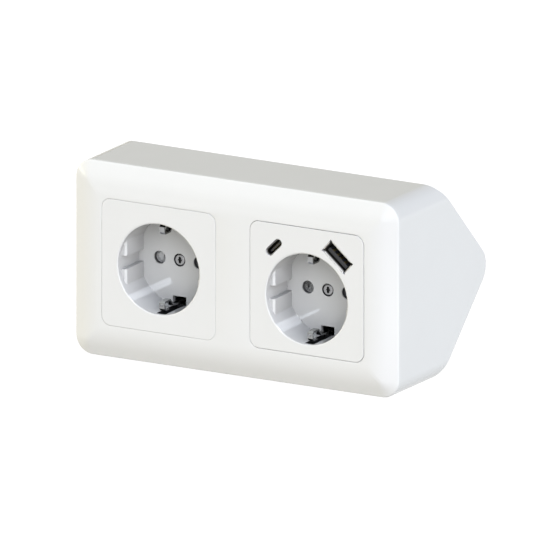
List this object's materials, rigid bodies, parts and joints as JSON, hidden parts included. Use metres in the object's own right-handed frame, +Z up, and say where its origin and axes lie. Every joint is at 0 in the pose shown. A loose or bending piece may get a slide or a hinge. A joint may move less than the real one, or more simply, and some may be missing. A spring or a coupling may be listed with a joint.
{
  "type": "two-gang earthed wall socket with usb outlets in a corner box",
  "caption": "Double earthed plug socket with USB outlets in a white frame, on a wedge-backed corner box for surface mounting.",
  "frame": {"origin": "middle of the footprint's length and depth, at the level of the flat underside", "axes": "+X along the length to the right, +Y to the back into the corner, +Z up; the sockets face -Y"},
  "size_m": [0.1546, 0.0766, 0.0837],
  "materials": {
    "box_plastic": "smooth glossy white moulding",
    "frame_plastic": "smooth glossy white moulding",
    "insert_plastic": "smooth glossy white moulding",
    "base_plastic": "satin grey moulding",
    "shutter_grey": "satin grey moulding",
    "grommet_rubber": "matt soft grey rubber",
    "zinc_steel": "zinc plated, satin",
    "contact_brass": "stamped brass",
    "spring_bronze": "nickel plated spring strip",
    "spring_steel": "drawn wire",
    "port_steel": "nickel plated sheet",
    "port_black": "black moulding",
    "gold_contact": "gold plated",
    "board_green": "printed circuit board",
    "charger_plastic": "black flame-retardant moulding",
    "ferrite": "sintered ferrite with a wound bobbin",
    "capacitor_can": "sleeved can",
    "copper_winding": "enamelled copper wire",
    "chip_black": "moulded package"
  },
  "bodies": {
    "housing": {"corner_box": "box_plastic", "two_gang_frame": "frame_plastic", "cable_grommet": "grommet_rubber", "strap_screws": "zinc_steel", "cover_screws": "zinc_steel", "usb_a_shell": "port_steel", "usb_a_tongue": "port_black", "usb_a_contacts": "gold_contact", "usb_c_shell": "port_steel", "usb_c_tongue": "port_black", "usb_c_contacts": "gold_contact", "usb_port_board": "board_green", "power_board": "board_green", "charger_lid": "charger_plastic", "charger_tray": "charger_plastic", "board_link_pins": "gold_contact", "transformer": "ferrite", "capacitors": "capacitor_can", "choke": "copper_winding", "controller_chips": "chip_black", "left_socket_cover": "insert_plastic", "left_mounting_strap": "zinc_steel", "left_contact_base": "base_plastic", "left_rear_cover": "base_plastic", "left_live_contact": "contact_brass", "left_neutral_contact": "contact_brass", "left_earth_strip": "spring_bronze", "left_shutter_spring": "spring_steel", "left_terminal_screws": "zinc_steel", "right_socket_cover": "insert_plastic", "right_mounting_strap": "zinc_steel", "right_contact_base": "base_plastic", "right_rear_cover": "base_plastic", "right_live_contact": "contact_brass", "right_neutral_contact": "contact_brass", "right_earth_strip": "spring_bronze", "right_shutter_spring": "spring_steel", "right_terminal_screws": "zinc_steel"},
    "left_shutter_body": {"left_shutter": "shutter_grey"},
    "right_shutter_body": {"right_shutter": "shutter_grey"}
  },
  "joints": [
    {"name": "left_shutter_turn", "type": "hinge", "parent": "housing", "child": "left_shutter_body", "pos_m": [-0.0355, -0.01751, 0.04183], "axis": [0, 1, 0], "range_deg": [0, 40], "stiffness_Nm_per_rad": 0.004, "deforming": ["left_shutter_spring"]},
    {"name": "right_shutter_turn", "type": "hinge", "parent": "housing", "child": "right_shutter_body", "pos_m": [0.0355, -0.01751, 0.0385], "axis": [0, 1, 0], "range_deg": [0, 40], "stiffness_Nm_per_rad": 0.004, "deforming": ["right_shutter_spring"]}
  ]
}
